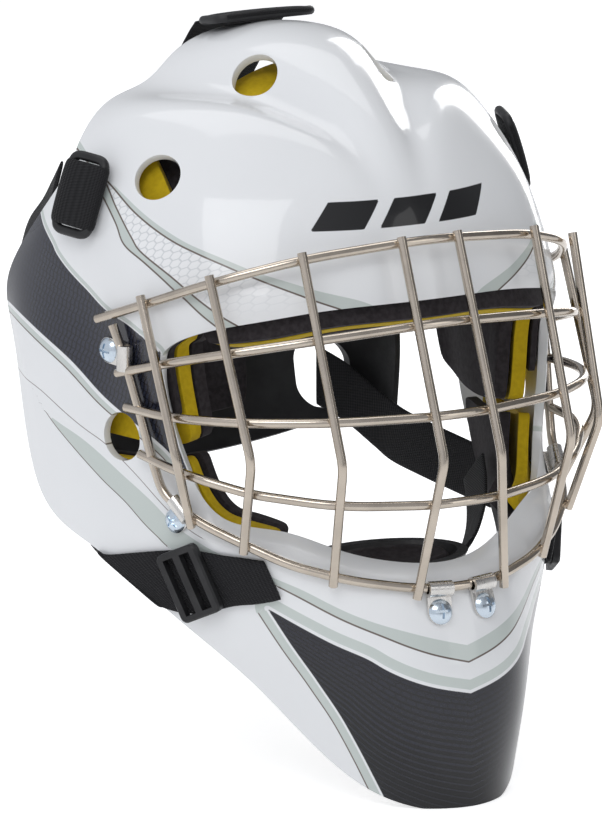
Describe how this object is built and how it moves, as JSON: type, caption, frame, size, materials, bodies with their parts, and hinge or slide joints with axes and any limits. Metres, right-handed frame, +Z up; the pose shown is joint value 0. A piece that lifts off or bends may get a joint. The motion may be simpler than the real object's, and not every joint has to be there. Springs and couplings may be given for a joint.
{
  "type": "goalie mask",
  "caption": "Goalie mask: moulded shell with a welded wire cage on clips, layered foam liner, chin cup on a sling, and a back plate on elastic straps.",
  "frame": {"origin": "under the middle of the mask's bounding box, at the height of the chin's bottom rim", "axes": "+Z up, the mask faces -Y, +X is the wearer's left"},
  "size_m": [0.2356, 0.2641, 0.319],
  "materials": {
    "shell_gloss": "white gel-coated composite with grey-green and charcoal graphics, high gloss",
    "cage_wire": "polished stainless wire, warm nickel tone, fused welds",
    "clip_steel": "pressed stainless sheet",
    "zinc_hardware": "bright zinc plate",
    "foam_yellow": "closed-cell foam, mustard yellow",
    "foam_black": "closed-cell foam, near black",
    "black_plastic": "moulded nylon and polyethylene, fine grain",
    "webbing_black": "woven nylon webbing",
    "elastic_black": "knitted elastic"
  },
  "bodies": {
    "mask": {"brow_foam_core": "foam_yellow", "brow_foam_inner": "foam_black", "brow_foam_outer": "foam_black", "cage_cross_bars": "cage_wire", "cage_perimeter_wire": "cage_wire", "cage_top_bar": "cage_wire", "cage_uprights": "cage_wire", "chin_clip_nuts": "zinc_hardware", "chin_clip_screws": "zinc_hardware", "chin_clips": "clip_steel", "chin_sling_left": "webbing_black", "chin_sling_right": "webbing_black", "crown_foam_core": "foam_yellow", "crown_foam_inner": "foam_black", "crown_webbing": "webbing_black", "jaw_foam_core_left": "foam_yellow", "jaw_foam_core_right": "foam_yellow", "jaw_foam_inner_left": "foam_black", "jaw_foam_inner_right": "foam_black", "jaw_webbing_left": "webbing_black", "jaw_webbing_right": "webbing_black", "shell": "shell_gloss", "side_clip_nuts": "zinc_hardware", "side_clip_screws": "zinc_hardware", "side_clips": "clip_steel", "temple_clip_nuts": "zinc_hardware", "temple_clip_screws": "zinc_hardware", "temple_clips": "clip_steel", "temple_foam_core_left": "foam_yellow", "temple_foam_core_right": "foam_yellow", "temple_foam_inner_left": "foam_black", "temple_foam_inner_right": "foam_black", "temple_foam_outer_left": "foam_black", "temple_foam_outer_right": "foam_black", "temple_webbing_left": "webbing_black", "temple_webbing_right": "webbing_black"},
    "back_plate_unit": {"back_plate": "black_plastic", "back_plate_foam_core": "foam_yellow", "back_plate_foam_inner": "foam_black", "crown_elastic": "elastic_black", "jaw_elastic_left": "elastic_black", "jaw_elastic_right": "elastic_black", "temple_elastic_left": "elastic_black", "temple_elastic_right": "elastic_black"},
    "chin_cup_unit": {"chin_cup": "black_plastic", "chin_cup_pad": "foam_black"},
    "triglide_left": {"jaw_triglide_left": "black_plastic"},
    "triglide_right": {"jaw_triglide_right": "black_plastic"}
  },
  "joints": [
    {"name": "back_plate_swing", "type": "hinge", "parent": "mask", "child": "back_plate_unit", "pos_m": [0, 0.052, 0.312], "axis": [1, 0, 0], "range_deg": [0, 25], "deforming": ["crown_elastic", "jaw_elastic_left", "jaw_elastic_right", "temple_elastic_left", "temple_elastic_right"]},
    {"name": "chin_cup_lift", "type": "slide", "parent": "mask", "child": "chin_cup_unit", "axis": [0, 0, 1], "range_m": [-0.005, 0.01], "deforming": ["chin_sling_left", "chin_sling_right"]},
    {"name": "triglide_left_slide", "type": "slide", "parent": "mask", "child": "triglide_left", "axis": [0.454, 0.8887, 0.0642], "range_m": [-0.008, 0.008]},
    {"name": "triglide_right_slide", "type": "slide", "parent": "mask", "child": "triglide_right", "axis": [-0.454, 0.8887, 0.0642], "range_m": [-0.008, 0.008]}
  ]
}
